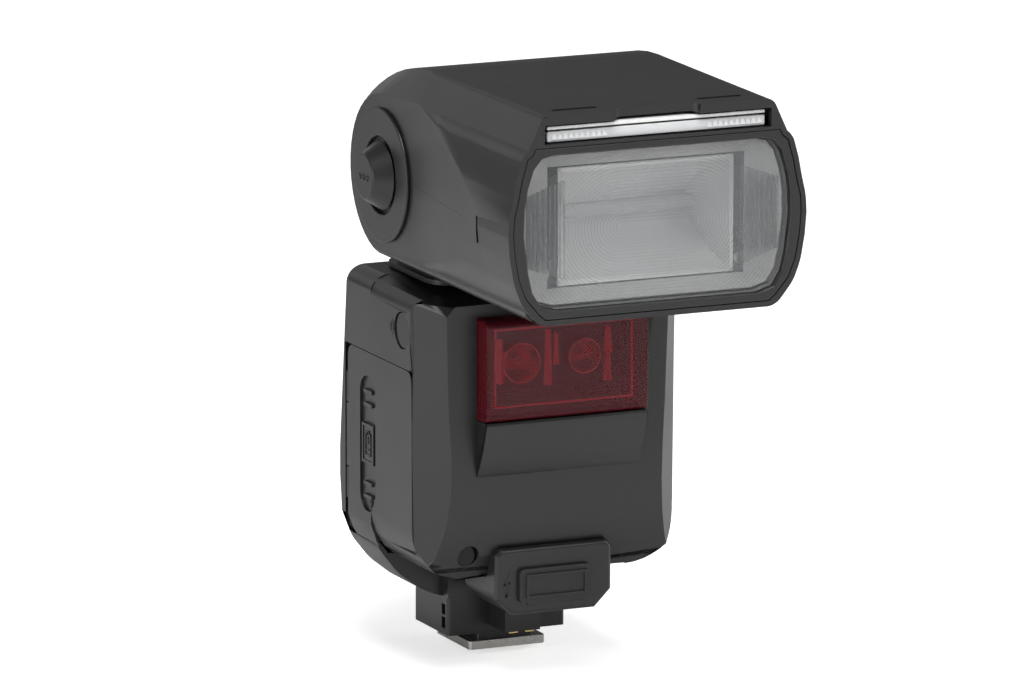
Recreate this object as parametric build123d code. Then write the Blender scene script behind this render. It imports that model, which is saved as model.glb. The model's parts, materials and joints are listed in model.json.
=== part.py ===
from build123d import *
import math
import os

# Speedlight flash: body, swivelling neck and tilting zoom head.
# Millimetres, +Z up, the lamp faces -Y, origin at the centre of the foot's bottom face.

# ---- walls and clearances ----
wall = 1.8
gap = 0.3
fit = 0.05
seat = 0.1

# ---- hot-shoe foot ----
foot_width = 18.6
foot_length = 18.0
foot_thick = 1.9
foot_neck_width = 12.4
foot_neck_length = 16.0
shoe_gap = 1.7
leg_half = 14.4
leg_front = -8.6
leg_rear = 10.4
lever_z = 5.4
lever_thick = 2.8
lever_disc_r = 8.0
lever_reach = 14.4
lever_width = 7.0
lever_slot_half = 11.4
contact_pin_r = 0.55
contact_stroke = 0.5
lock_pin_r = 1.0
lock_pin_x = -5.4
lock_pin_y = -6.2

# ---- body ----
body_half = 31.9
body_top = 87.2
body_front_top = 85.2
body_front = -36.2
front_bottom = 21.5
leg_joint_z = 12.3
seam_y = -5.5
corner_r = 12.0
shoulder_x = 29.3
shoulder_z = 85.0
side_front_y = -29.2
front_face_half_top = 27.3
front_face_half_low = 24.3

# ---- red lamp window on the front ----
window_half = 19.6
window_front = -41.6
window_low = 59.4
window_high = 82.3
window_wall = 1.4
nose_low = 48.0

# ---- battery bay ----
cell_r = 7.2
cell_length = 50.0
cell_pitch = 15.2
cell_x0 = -26.0
cell_y0 = -19.6
cell_z0 = 37.0
door_rear = 7.6
door_front = -28.2
door_low = 25.6
door_high = 69.4
door_thick = 1.6
door_slide = 4.0
hinge_x = 0.8 - body_half
hinge_y = 7.7
hinge_pin_r = 0.45
knuckle_r = 0.9
knuckle_low = 34.0
leaf_depth = 1.2
swing_gap = 0.55

# ---- external terminal on the lower front ----
terminal_half = 14.2
terminal_front = -34.4
terminal_low = 13.5
terminal_high = 29.0
terminal_rear = -17.4
cap_half = 8.8
cap_low = 16.3
cap_high = 24.2
cap_proud = 1.2

# ---- control panel on the back ----
panel_half = 25.0
panel_low = 25.0
panel_high = 84.0
panel_front = 8.6
panel_face = 13.2
lcd_half = 20.0
lcd_low = 55.0
lcd_high = 81.0
key_radius = 2.3
key_z = 49.5
dial_r = 11.0
dial_z = 35.5
key_travel = 0.6
side_key_x = panel_half - 6.0
key_proud = 1.2

# ---- swivel and tilt ----
axis_y = -9.3
axis_z = 110.6
swivel_r = 13.0
turret_half_x = 24.5
turret_half_y = 15.5
turret_top = 88.6
neck_half = 23.0
post_half_y = 9.5
neck_drum_r = 16.5
trunnion_r = 6.0
trunnion_end = 27.0
boss_r = 13.2
retainer_r = 15.5

# ---- head ----
head_top = 137.0
head_low = 91.0
head_front = -88.4
rear_r = 21.5
side_r = 18.2
head_half = 30.6
head_flare = 35.6
spine_half = 27.2
bevel_low = 130.0
split_z = 111.0
rim_depth = 7.0
rim_wall = 1.2
top_break_y = -29.0
back_bow = 112.0
blend_angle = 38
lens_half = 31.6
lens_low = 94.0
lens_high = 128.0
slot_half = 27.0
slot_low = 130.8
slot_high = 135.0
panel_thick = 1.6
card_thick = 0.7
disc_r = 15.1
disc_proud = 0.8
button_r = 5.1
button_proud = 3.9
button_travel = 1.2
button_base_r = 7.8
dish_depth = 0.7

# ---- lamp carriage ----
tube_r = 2.2
tube_half = 19.0
reflector_half_x = 21.0
reflector_half_z = 13.0
reflector_depth = 20.0
lamp_y = -62.0
screw_r = 1.4
screw_drop = 14.9
guide_drop = 10.5
guide_x = 23.5
screw_x = -10.0
rod_front = -80.0
rod_rear = -33.0
rod_block = 3.0
arm_x = 24.9
lamp_z = axis_z + 0.6


def block(x0, x1, y0, y1, z0, z1):
    """A box from its lowest to its highest corner."""
    centre = ((x0 + x1) / 2, (y0 + y1) / 2, (z0 + z1) / 2)
    return Pos(*centre) * Box(x1 - x0, y1 - y0, z1 - z0)


def rod_x(y, z, r, x0, x1):
    """A round bar along X."""
    return Pos((x0 + x1) / 2, y, z) * Rot(0, 90, 0) * Cylinder(r, x1 - x0)


def rod_y(x, z, r, y0, y1):
    """A round bar along Y."""
    return Pos(x, (y0 + y1) / 2, z) * Rot(90, 0, 0) * Cylinder(r, y1 - y0)


def rod_z(x, y, r, z0, z1):
    """A round bar along Z."""
    return Pos(x, y, (z0 + z1) / 2) * Cylinder(r, z1 - z0)


def side_prism(points, x0, x1):
    """A (y, z) outline drawn out along X."""
    face = Plane.YZ * make_face(Polyline(*points, close=True))
    return Pos(x0, 0, 0) * extrude(face, x1 - x0, dir=(1, 0, 0))


def front_prism(points, y0, y1):
    """An (x, z) outline drawn out along Y."""
    edge = Polyline(*[(x, y0, z) for x, z in points], close=True)
    return extrude(make_face(edge), y1 - y0, dir=(0, 1, 0))


def plan_prism(points, z0, z1):
    """An (x, y) outline drawn up along Z."""
    edge = Polyline(*[(x, y, z0) for x, y in points], close=True)
    return extrude(make_face(edge), z1 - z0, dir=(0, 0, 1))


def arc_points(cx, cy, r, a0, a1, steps):
    """Points on an arc, used where an outline turns round a centre."""
    turn = [a0 + (a1 - a0) * i / steps for i in range(steps + 1)]
    return [(cx + r * math.cos(math.radians(a)), cy + r * math.sin(math.radians(a))) for a in turn]


def mirrored(half):
    """Closes a half outline, listed from bottom to top at +X, across X = 0."""
    return half + [(-x, z) for x, z in reversed(half)]


def grown(solids):
    """One shape from a list of solids."""
    total = solids[0]
    for solid in solids[1:]:
        total = total + solid
    return total


def save(name, shape):
    """Writes one sub-part."""
    export_step(shape, os.path.join("parts", name + ".step"))


# ---------------------------------------------------------------- body shells

def body_side_profile(inset):
    """Front shell in side view: the face bows back towards the bottom."""
    front = body_front + inset
    low = front_bottom + inset
    bow = [(front, 52.0), (front + 0.5, 42.0), (front + 1.8, 34.0), (front + 4.0, 27.5), (front + 7.6, low)]
    return [(seam_y, low), (seam_y, body_top - inset), (front, body_front_top - inset)] + bow


def front_outer(inset):
    """Outer form of the front shell, or its cavity when inset."""
    half = body_half - inset
    low = front_bottom + inset
    r = corner_r
    corner = arc_points(half - r, low + r, r, -90, 0, 8)
    outline = corner + [(half, shoulder_z - inset / 2), (shoulder_x - inset / 2, body_top - inset)]
    form = front_prism(mirrored(outline), body_front - 1, seam_y)
    form = form & side_prism(body_side_profile(inset), -half - 1, half + 1)
    top_half = front_face_half_top - inset
    low_half = front_face_half_low - inset
    side_y = side_front_y + inset / 2
    front = body_front + inset
    for s in (-1, 1):
        low_face = make_face(Polyline(
            (s * half, side_y + 1.5, 18), (s * low_half, front, 18),
            (s * low_half, front - 5, 18), (s * (half + 3), front - 5, 18),
            (s * (half + 3), side_y + 1.5, 18), close=True))
        high_face = make_face(Polyline(
            (s * half, side_y, 90), (s * top_half, front, 90),
            (s * top_half, front - 5, 90), (s * (half + 3), front - 5, 90),
            (s * (half + 3), side_y, 90), close=True))
        form = form - loft([low_face, high_face], ruled=True)
    return form


def rear_outer(inset):
    """Outer form of the rear shell: its lower corners sweep in to the foot."""
    half = body_half - inset
    low = leg_joint_z + inset
    sweep = [(14.9, low), (20.0, low + 2.2), (25.6, low + 6.6), (29.8, low + 12.0), (half, low + 18.0)]
    outline = sweep + [(half, shoulder_z - inset / 2), (shoulder_x - inset / 2, body_top - inset)]
    back = [(9.6, low), (10.7, 28.5), (12.0, 38.5), (12.0, 45.0), (9.7, 68.7), (7.8, body_top - inset)]
    profile = [(seam_y, body_top - inset), (seam_y, low)] + [(y - inset, z) for y, z in back]
    form = front_prism(mirrored(outline), seam_y, 14)
    return form & side_prism(profile, -half - 1, half + 1)


def nose():
    """The brow under the red window, which fairs back into the front."""
    outline = [(body_front + 1.0, nose_low - 2.5), (body_front - 0.4, nose_low - 1.2),
               (body_front - 1.9, nose_low + 1.6), (window_front + 1.9, window_low - 6.4),
               (window_front + 0.7, window_low - 2.6), (window_front, window_low - 0.6),
               (window_front + 0.3, window_low - seat), (body_front + 1.0, window_low - seat)]
    form = side_prism(outline, -window_half, window_half)
    return form


def door_recess(extra):
    """The space that the battery door and its hinge fill in the side wall."""
    y0, y1 = door_front - extra, door_rear + extra
    z0, z1 = door_low - extra, door_high + extra
    plate = block(-body_half - 1, -body_half + door_thick + extra, y0, y1, z0, z1)
    knuckles = rod_z(hinge_x, hinge_y, knuckle_r + swing_gap, z0, z1)
    return plate + knuckles


def door_slide_room():
    """The shaving below the door that lets it slide down before it opens."""
    shaving = block(-body_half - 1, -body_half + door_thick + 0.25, seam_y - 1, door_rear + 0.2,
                    door_low - door_slide - 0.3, door_low)
    leaf_low = knuckle_low - door_slide - 0.5
    return shaving + block(hinge_x, hinge_x + leaf_depth + 0.4, door_rear - 2.1, hinge_y, leaf_low, knuckle_low)


def front_shell():
    """Front half of the body casing."""
    shell = front_outer(0) + nose()
    shell = shell - front_outer(wall)
    hole = block(-window_half - seat, window_half + seat, window_front - 1, body_front + wall + 2,
                 window_low - seat, window_high + seat)
    shell = shell - hole
    shell = shell - rod_x(-22.8, 78.0, 4.2, -body_half - 1, -body_half + wall + 1)
    shell = shell - rod_y(-20.0, 27.6, 2.5, body_front - 1, -24)
    shell = shell - block(-cap_half + 1.1, cap_half - 1.1, terminal_front - 1, terminal_front + 6.1,
                          cap_low + 1.1, cap_high - 1.1)
    shell = shell - rod_z(0, axis_y, swivel_r + gap, 80, 90)
    shell = shell - door_recess(0.2)
    shell = shell - block(-body_half - 1, -body_half + 4, -24.5, seam_y + 1, 29.5, 64.5)
    return shell


def rear_shell():
    """Rear half of the body casing, with the seat for the control panel."""
    shell = rear_outer(0) - rear_outer(wall)
    low_wall = block(-body_half, body_half, seam_y, seam_y + wall, leg_joint_z, front_bottom + wall)
    shell = shell + (low_wall & rear_outer(0))
    pocket = block(-panel_half - 0.2, panel_half + 0.2, panel_front - 0.2, 16,
                   panel_low - 0.2, panel_high + 0.2)
    shell = shell - pocket
    window = block(-panel_half + 3, panel_half - 3, 3, 16, panel_low + 3, panel_high - 3)
    shell = shell - window
    shell = shell - rod_z(0, axis_y, swivel_r + gap, 80, 90)
    shell = shell - door_recess(0.2) - door_slide_room()
    shell = shell - block(-body_half - 1, -body_half + 4, seam_y - 1, 4.5, 29.5, 64.5)
    shell = shell - rod_x(-0.5, 29.0, 3.6, body_half - wall - 1, body_half + 1)
    return shell


# ------------------------------------------------------- pieces on the body

def side_sensor_window():
    """Round wireless receiver window in the side of the body."""
    lens = rod_x(-22.8, 78.0, 4.2 - seat, -body_half + 0.3, -body_half + wall)
    return lens + rod_x(-22.8, 78.0, 4.9, -body_half + wall, -body_half + wall + 1.0)


def front_sensor():
    """Light sensor at the bottom of the small round hole in the front."""
    return rod_y(-20.0, 27.6, 2.5 - seat, -31.0, -28.5)


def af_window():
    """Deep red hollow cover, open at the back, over the focus lamps."""
    rear = body_front + wall + 0.4
    cover = block(-window_half, window_half, window_front, rear, window_low, window_high)
    front_edges = cover.edges().filter_by(Axis.X).group_by(Axis.Y)[0]
    cover = fillet(front_edges, 1.6)
    hollow = block(-window_half + window_wall, window_half - window_wall, window_front + window_wall,
                   rear + 2, window_low + window_wall, window_high - window_wall)
    flange = block(-window_half - 1.4, window_half + 1.4, rear, rear + 1.2,
                   window_low - 1.4, window_high + 1.4)
    flange = flange & front_outer(wall + gap)
    return cover + flange - hollow


def af_lamps():
    """Board behind the red window with its reflector cups and lamp lenses."""
    y = body_front + wall + 2.2
    half = window_half - window_wall - 0.7
    board = block(-half, half, y, y + 1.6, window_low + 2, window_high - 2)
    for x in (7.0 - half, 0.0, half - 7.0):
        cup = rod_y(x, 71.0, 4.6, y - 5.0, y)
        cup = cup - rod_y(x, 71.0, 3.8, y - 6.0, y - 1.0)
        lamp = rod_y(x, 71.0, 1.8, y - 3.2, y) + Pos(x, y - 3.2, 71.0) * Sphere(1.8)
        board = board + cup + lamp
    return board


def terminal_housing():
    """Moulded nose on the lower front that holds the external terminals."""
    outline = [(-terminal_half + 4, terminal_low), (terminal_half - 4, terminal_low),
               (terminal_half, terminal_low + 4), (terminal_half, terminal_high - 1.5),
               (terminal_half - 1.5, terminal_high), (-terminal_half + 1.5, terminal_high),
               (-terminal_half, terminal_high - 1.5), (-terminal_half, terminal_low + 4)]
    form = front_prism(outline, terminal_front, terminal_rear)
    front_face = form.faces().sort_by(Axis.Y)[0]
    form = fillet(front_face.edges(), 1.2)
    form = form - front_outer(0) - block(-20, 20, -24, -10, front_bottom, 40)
    socket = block(-cap_half + 1.2, cap_half - 1.2, terminal_front - 1, terminal_front + 6,
                   cap_low + 1.2, cap_high - 1.2)
    return form - socket


def terminal_socket():
    """Power socket with its contact pins inside the terminal housing."""
    y = terminal_front + 6
    half_x = cap_half - 1.2
    base = block(-half_x, half_x, y - 1.2, y, cap_low + 1.2, cap_high - 1.2)
    for x in (-4.5, -1.5, 1.5, 4.5):
        base = base + rod_y(x, (cap_low + cap_high) / 2, 0.6, y - 3.6, y - 1.0)
    return base


def terminal_cap():
    """Rubber cover of the external terminals, hinged along its lower edge."""
    front = terminal_front - cap_proud
    cap = block(-cap_half, cap_half, front, terminal_front - 0.02, cap_low, cap_high)
    cap = fillet(cap.edges().filter_by(Axis.Y), 1.2)
    ring = block(-cap_half + 1.4, cap_half - 1.4, front - 0.5, front + 0.2, cap_low + 1.2, cap_high - 1.2)
    ring = ring - block(-cap_half + 2.0, cap_half - 2.0, front - 1, front, cap_low + 1.8, cap_high - 1.8)
    plug = block(-cap_half + 1.6, cap_half - 1.6, terminal_front - 0.1, terminal_front + 1.4,
                 cap_low + 2.4, cap_high - 1.6)
    roll = rod_x(terminal_front - 0.62, cap_low, 0.5, -cap_half + 2, cap_half - 2)
    return cap + ring + plug + roll


def foot_block():
    """Moulded leg between the body and the metal foot."""
    leg = block(-leg_half, leg_half, leg_front, leg_rear, foot_thick + shoe_gap, leg_joint_z)
    leg = fillet(leg.edges().filter_by(Axis.Z), 1.0)
    upper = block(-leg_half, leg_half, leg_front, seam_y, leg_joint_z, front_bottom)
    nose_block = block(-4.3, 4.3, terminal_rear, leg_front, 5.4, front_bottom)
    neck = block(-foot_neck_width / 2, foot_neck_width / 2, -foot_neck_length / 2,
                 foot_neck_length / 2, foot_thick, foot_thick + shoe_gap)
    form = leg + upper + nose_block + neck
    z0, z1 = lever_z - 0.2, lever_z + lever_thick + 0.2
    form = form - rod_z(0, 0, lever_disc_r + gap, z0, z1)
    form = form - block(-lever_slot_half, lever_slot_half, 2.0, leg_rear + 1, z0, z1)
    form = form - rod_z(lock_pin_x, lock_pin_y, lock_pin_r + fit, foot_thick - 1, z0 + 0.1)
    for x, y in contact_places():
        form = form - rod_z(x, y, contact_pin_r + fit, foot_thick - 1, lever_z - 0.9)
        form = form - rod_z(x, y, contact_pin_r + 0.3, 3.2, lever_z - 0.9)
    for s in (-1, 1):
        form = form - block(s * leg_half - 1.0, s * leg_half + 1.0, -7.0, -5.0, 5.0, 7.6)
        form = form - block(s * leg_half - 1.0, s * leg_half + 1.0, -7.0, -5.0, 8.2, 10.6)
    return form


def contact_places():
    """The sync contact in the middle and the four contacts round it."""
    return [(0, 0), (-3.6, -2.4), (3.6, -2.4), (3.6, -6.6), (0, -6.6)]


def foot_plate():
    """Metal foot that slides into the camera's accessory shoe."""
    plate = block(-foot_width / 2, foot_width / 2, -foot_length / 2, foot_length / 2, 0, foot_thick)
    plate = chamfer(plate.edges().filter_by(Axis.Z).group_by(Axis.Y)[0], 0.6)
    for x, y in contact_places():
        plate = plate - rod_z(x, y, contact_pin_r + 0.5, -1, foot_thick + 1)
    plate = plate - rod_z(lock_pin_x, lock_pin_y, lock_pin_r + 0.1, -1, foot_thick + 1)
    for x, y in foot_screw_places():
        plate = plate - rod_z(x, y, 1.1, -1, foot_thick + 1)
        plate = plate - rod_z(x, y, 1.9, -1, 0.9)
    return plate


def foot_screw_places():
    """Corners of the foot where it is screwed to the leg."""
    return [(-6.6, 5.6), (6.6, 5.6), (-6.9, -1.4), (6.9, -1.4)]


def foot_screws():
    """Countersunk screws that hold the foot plate."""
    heads = [rod_z(x, y, 1.8, 0.2, 0.9) + rod_z(x, y, 1.05, 0.9, foot_thick) for x, y in foot_screw_places()]
    return Compound(children=heads)


def contact_pins():
    """Sprung contact pins that stand a little out of the foot."""
    pins = [rod_z(x, y, contact_pin_r, -contact_stroke, 3.4) for x, y in contact_places()]
    heads = [rod_z(x, y, contact_pin_r + 0.25, 3.3, 3.7) for x, y in contact_places()]
    return Compound(children=[pin + head for pin, head in zip(pins, heads)])


def side_contacts():
    """Two gilt strips under the front of the leg for a remote focus lamp."""
    strips = [block(x - 1.1, x + 1.1, terminal_rear + 0.6, terminal_rear + 5, 5.0, 5.4) for x in (-2.0, 2.0)]
    return Compound(children=strips)


def lock_pin():
    """Pin that drops into the camera shoe's locating hole."""
    return rod_z(lock_pin_x, lock_pin_y, lock_pin_r, 0.1, lever_z - 0.2)


def lock_lever():
    """Lever at the back of the foot that drives the lock pin."""
    disc = rod_z(0, 0, lever_disc_r, lever_z, lever_z + lever_thick)
    arm = block(-lever_width / 2, lever_width / 2, 0, lever_reach, lever_z, lever_z + lever_thick)
    arm = fillet(arm.edges().filter_by(Axis.Z).group_by(Axis.Y)[-1], 1.5)
    grips = [block(x - 0.3, x + 0.3, leg_rear + 1.5, lever_reach - 0.6, lever_z + lever_thick,
                   lever_z + lever_thick + 0.15) for x in (-1.6, 0, 1.6)]
    return grown([disc + arm] + grips)


# --------------------------------------------------------------- battery bay

def cell_centres():
    """Two columns of two cells, lying across the body."""
    return [(cell_y0 + cell_pitch * i, cell_z0 + cell_pitch * j) for i in (0, 1) for j in (0, 1)]


def battery_holder():
    """Moulded tray that cradles the four cells."""
    y0, y1 = cell_y0 - cell_r - 1.6, cell_y0 + cell_pitch + cell_r + 1.6
    z0, z1 = cell_z0 - cell_r - 1.6, cell_z0 + cell_pitch + cell_r + 1.6
    x1 = cell_x0 + cell_length + 1.2
    tray = block(cell_x0 + 1, x1, y0, y1, z0, z1)
    for y, z in cell_centres():
        tray = tray - rod_x(y, z, cell_r + 0.25, cell_x0, x1 + 1)
    return tray


def battery_cells():
    """Four AA cells with their button ends."""
    cells = []
    for index, (y, z) in enumerate(cell_centres()):
        cell = rod_x(y, z, cell_r, cell_x0 + 1.2, cell_x0 + cell_length)
        end = cell_x0 + cell_length if index % 2 else cell_x0 + 1.2
        tip = rod_x(y, z, 2.6, end - 1.0, end + 1.0)
        cells.append(cell + tip)
    return Compound(children=cells)


def battery_terminals():
    """Contact plate at the closed end of the bay."""
    x = cell_x0 + cell_length + 1.3
    strips = []
    for y in (cell_y0, cell_y0 + cell_pitch):
        z0, z1 = cell_z0 - 5, cell_z0 + cell_pitch + 5
        strips.append(block(x, x + 0.6, y - 4, y + 4, z0, z1))
    return Compound(children=strips)


def terminal_board():
    """Insulating wall behind the battery contacts."""
    x = cell_x0 + cell_length + 1.9
    y0, y1 = cell_y0 - cell_r + 1.5, cell_y0 + cell_pitch + cell_r + 1
    return block(x, x + 1.6, y0, y1, cell_z0 - cell_r - 1, cell_z0 + cell_pitch + cell_r + 1)


def battery_door():
    """Sliding, then swinging, cover of the battery bay."""
    door = block(-body_half, -body_half + door_thick, door_front, door_rear - 0.2, door_low, door_high)
    door = fillet(door.edges().filter_by(Axis.X), 2.6)
    door = door & (front_outer(0) + rear_outer(0))
    pad_y0, pad_y1, pad_z0, pad_z1 = -8.0, 0.6, 33.0, 64.0
    pad = block(-body_half - 1, -body_half + 0.6, pad_y0, pad_y1, pad_z0, pad_z1)
    pad = fillet(pad.edges().filter_by(Axis.X), 4.0)
    door = door - pad
    ribs = [block(-body_half - 0.1, -body_half + 0.6, -6.0, -1.6, z, z + 0.8) for z in (36, 39, 57, 60)]
    label = block(-body_half - 0.1, -body_half + 0.6, -7.0, -0.6, 44, 53)
    label = label - block(-body_half - 1, -body_half + 0.1, -6.4, -1.2, 44.6, 52.4)
    knuckles = [rod_z(hinge_x, hinge_y, knuckle_r, z, z + 7) for z in (knuckle_low, 56.0)]
    leaf = [block(hinge_x, hinge_x + leaf_depth, door_rear - 1.6, hinge_y, z, z + 7)
            for z in (knuckle_low, 56.0)]
    form = grown([door, label] + ribs + knuckles + leaf)
    form = form - rod_z(hinge_x, hinge_y, hinge_pin_r + fit, 20, 75)
    return form - rod_z(hinge_x, hinge_y, knuckle_r + gap, 41.0 + seat, 56.0 - seat)


def door_hinge():
    """Hinge pin with its slide blocks, which carries the battery door."""
    pin = rod_z(hinge_x, hinge_y, hinge_pin_r, 33.0, 64.5)
    return pin + rod_z(hinge_x, hinge_y, knuckle_r, 41.0 + gap, 56.0 - gap)


# ------------------------------------------------------ electronics and back

def main_capacitor():
    """Large storage capacitor lying across the top of the bay."""
    can = rod_x(-4.0, 70.4, 8.2, -22, 24)
    return can + rod_x(-4.0, 70.4, 6.6, 24, 25)


def power_board():
    """Charging circuit beside the bay with its transformer."""
    board = block(body_half - 4.3, body_half - 2.7, -26, 3, 34, 74)
    core = block(body_half - 5.7, body_half - 4.3, -12, -4, 62, 72)
    return board + core


def main_board():
    """Control circuit behind the panel."""
    return block(-24, 24, 4.6, 6.0, 30, 76)


def control_panel():
    """Moulded control panel that closes the back."""
    panel = block(-panel_half, panel_half, panel_front, panel_face, panel_low, panel_high)
    panel = fillet(panel.edges().filter_by(Axis.Y), 3.0)
    panel = chamfer(panel.faces().sort_by(Axis.Y)[-1].edges(), 0.8)
    panel = panel - block(-lcd_half, lcd_half, panel_face - 2.6, panel_face + 1, lcd_low, lcd_high)
    inner = block(-lcd_half + 1.5, lcd_half - 1.5, panel_front - 1, panel_face, lcd_low + 1.5, lcd_high - 1.5)
    panel = panel - inner
    for x in key_columns():
        panel = panel - rod_y(x, key_z, key_radius + fit + 0.1, panel_front - 1, panel_face + 1)
    panel = panel - rod_y(0, dial_z, dial_r + gap, panel_face - 2.0, panel_face + 1)
    panel = panel - rod_y(0, dial_z, 5.0, panel_front - 1, panel_face)
    panel = panel - rod_y(-side_key_x, dial_z, 2.8 + fit + 0.1, panel_front - 1, panel_face + 1)
    panel = panel - rod_y(side_key_x, dial_z, 1.6 + fit, panel_front - 1, panel_face + 1)
    return panel


def key_columns():
    """Positions of the three soft keys under the display."""
    return [-13.0, 0.0, 13.0]


def lcd_module():
    """Liquid crystal display cell."""
    return block(-lcd_half + 1.6, lcd_half - 1.6, panel_front + 0.2, panel_face - 2.7,
                 lcd_low + 1.6, lcd_high - 1.6)


def lcd_window():
    """Clear window over the display."""
    return block(-lcd_half + seat, lcd_half - seat, panel_face - 2.6, panel_face - 0.6,
                 lcd_low + seat, lcd_high - seat)


def push_key(x, z, r):
    """Round key with a wider foot that keeps it in the panel."""
    cap = rod_y(x, z, r, panel_front - 1.0, panel_face + key_proud)
    return cap + rod_y(x, z, r + 0.8, panel_front - 1.8, panel_front - key_travel)


def selector_dial():
    """Knurled selector ring that turns round the confirm key."""
    y0, y1 = panel_face - 1.9, panel_face + 1.8
    ring = rod_y(0, dial_z, dial_r, y0, y1) - rod_y(0, dial_z, 4.4, y0 - 1, y1 + 1)
    for i in range(24):
        a = math.radians(15 * i)
        ring = ring - rod_y(dial_r * math.cos(a), dial_z + dial_r * math.sin(a), 0.5, y1 - 1.2, y1 + 1)
    sleeve = rod_y(0, dial_z, 4.9, panel_front - 1, y0 + 0.1) - rod_y(0, dial_z, 4.4, panel_front - 2, y0 + 1)
    return ring + sleeve


def confirm_key():
    """Key in the middle of the dial."""
    return rod_y(0, dial_z, 4.2, panel_front - 1.6, panel_face + 1.9)


def ready_lamp():
    """Lamp that shows the flash is charged."""
    return rod_y(side_key_x, dial_z, 1.6, panel_front, panel_face + 0.2)


def sync_cover():
    """Screw cap on the sync terminal at the side."""
    cap = rod_x(-0.5, 29.0, 3.4, body_half - wall, body_half + 0.9)
    return fillet(cap.edges().sort_by(Axis.X)[-1], 0.5)


def case_screws():
    """Long screws that hold the two body shells together."""
    screws = []
    for x, z in ((-27.6, 78.0), (27.6, 78.0), (-20.5, 25.6), (20.5, 25.6)):
        shank = rod_y(x, z, 0.9, seam_y - 6, seam_y + 8)
        screws.append(shank + rod_y(x, z, 1.7, seam_y + 8, seam_y + 9.4))
    return Compound(children=screws)


def swivel_bearing():
    """Steel plate under the body's top that the neck turns in."""
    z1 = body_front_top - wall - 0.6
    plate = block(-23, 23, axis_y - 18, axis_y + 15, z1 - 2.0, z1)
    return plate - rod_z(0, axis_y, swivel_r + fit, z1 - 3, z1 + 1)


# -------------------------------------------------------------------- swivel

def neck():
    """Swivel base, neck post and the barrel that the head tilts on."""
    base = block(-turret_half_x, turret_half_x, axis_y - turret_half_y, axis_y + turret_half_y,
                 body_top + gap, turret_top)
    base = fillet(base.edges().filter_by(Axis.Z), 6.0)
    spigot = rod_z(0, axis_y, swivel_r, body_top - 7.6, body_top + gap)
    post = block(-neck_half, neck_half, axis_y - post_half_y, axis_y + post_half_y, turret_top - 0.5, axis_z)
    barrel = rod_x(axis_y, axis_z, neck_drum_r, -neck_half, neck_half)
    form = base + spigot + post + barrel
    for s in (-1, 1):
        x0, x1 = sorted((s * (neck_half - 1), s * trunnion_end))
        form = form + rod_x(axis_y, axis_z, trunnion_r, x0, x1)
    form = form - rod_x(axis_y, axis_z, 3.2, -trunnion_end - 1, trunnion_end + 1)
    form = form - rod_x(axis_y, axis_z, neck_drum_r - 2.2, -neck_half + 2.2, neck_half - 2.2)
    return form - rod_z(0, axis_y, 6.0, body_top - 9, axis_z)


def swivel_retainer():
    """Ring that keeps the neck in its bearing."""
    z1 = body_front_top - wall - 2.9
    ring = rod_z(0, axis_y, retainer_r, z1 - 1.4, z1)
    return ring - rod_z(0, axis_y, swivel_r, z1 - 3, z1 + 1)


# ---------------------------------------------------------------------- head

def head_side_outline(inset, inner):
    """Side view of the head: the wide spine, or the narrower side face."""
    low = head_low + inset
    front = head_front + 2.0
    if inner:
        r = rear_r - inset
        start = -math.degrees(math.asin((axis_z - low) / r))
        turn = arc_points(axis_y, axis_z, r, start, blend_angle, 14)
        slope = [5.5 - (5.5 - top_break_y) * i / 7 for i in range(8)]
        back = [(y, head_top - inset - (y - top_break_y) ** 2 / back_bow) for y in slope]
        return [(front, low)] + turn + back + [(front, head_top - inset)]
    r = side_r - inset
    low = max(low, axis_z - r + 0.2)
    start = -math.degrees(math.asin((axis_z - low) / r))
    turn = arc_points(axis_y, axis_z, r, start, blend_angle, 14)
    rise = arc_points(axis_y, axis_z, r, blend_angle + 9, 90, 5)
    back = rise + [(-18.0, bevel_low - 0.6 - inset), (top_break_y, bevel_low - inset)]
    return [(front, low)] + turn + back + [(front, bevel_low - inset)]


def head_front_outline(inset):
    """Front view of the head, from the bottom to the top at +X."""
    points = [(27.7, 91.0), (29.3, 92.4), (32.5, 96.3), (34.2, 100.7), (35.2, 106.4), (35.6, 111.3),
              (35.4, 115.2), (34.4, 119.4), (33.6, 123.6), (32.2, 128.6), (30.8, 129.7), (27.4, 137.0)]
    middle = (head_low + head_top) / 2
    kx = (head_flare - inset) / head_flare
    kz = (head_top - middle - inset) / (head_top - middle)
    return mirrored([(x * kx, middle + (z - middle) * kz) for x, z in points])


def head_outer(inset):
    """Outer form of the whole head, or its cavity when inset."""
    x = spine_half - inset * 0.5
    spine = side_prism(head_side_outline(inset, True), -x, x)
    form = spine
    for s in (-1, 1):
        big = Plane.YZ.offset(s * x) * make_face(Polyline(*head_side_outline(inset, True), close=True))
        small = Plane.YZ.offset(s * (head_half - inset)) * make_face(
            Polyline(*head_side_outline(inset, False), close=True))
        form = form + loft([big, small], ruled=True)
    y0, y1 = head_front + inset, top_break_y - 0.5
    flare = front_prism(head_front_outline(inset), y0, y1)
    half = head_flare - inset
    back = head_half - inset
    plan = plan_prism([(-back, y1), (-half, head_front + 16), (-half, y0), (half, y0),
                       (half, head_front + 16), (back, y1)], head_low - 2, head_top + 2)
    return form + (flare & plan)


def lens_outline(clear):
    """Rounded window of the Fresnel lens, wider at the middle than at the corners."""
    points = [(24.0, 94.2), (27.8, 95.4), (29.8, 98.6), (30.8, 103.0), (31.8, 111.0), (31.6, 116.7),
              (30.9, 121.0), (29.5, 125.4), (27.6, 127.7), (24.8, 128.4)]
    middle = 111.2
    kx = (lens_half - clear) / lens_half
    kz = ((lens_high - lens_low) / 2 - clear) / ((lens_high - lens_low) / 2)
    return mirrored([(x * kx, middle + (z - middle) * kz) for x, z in points])


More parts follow.
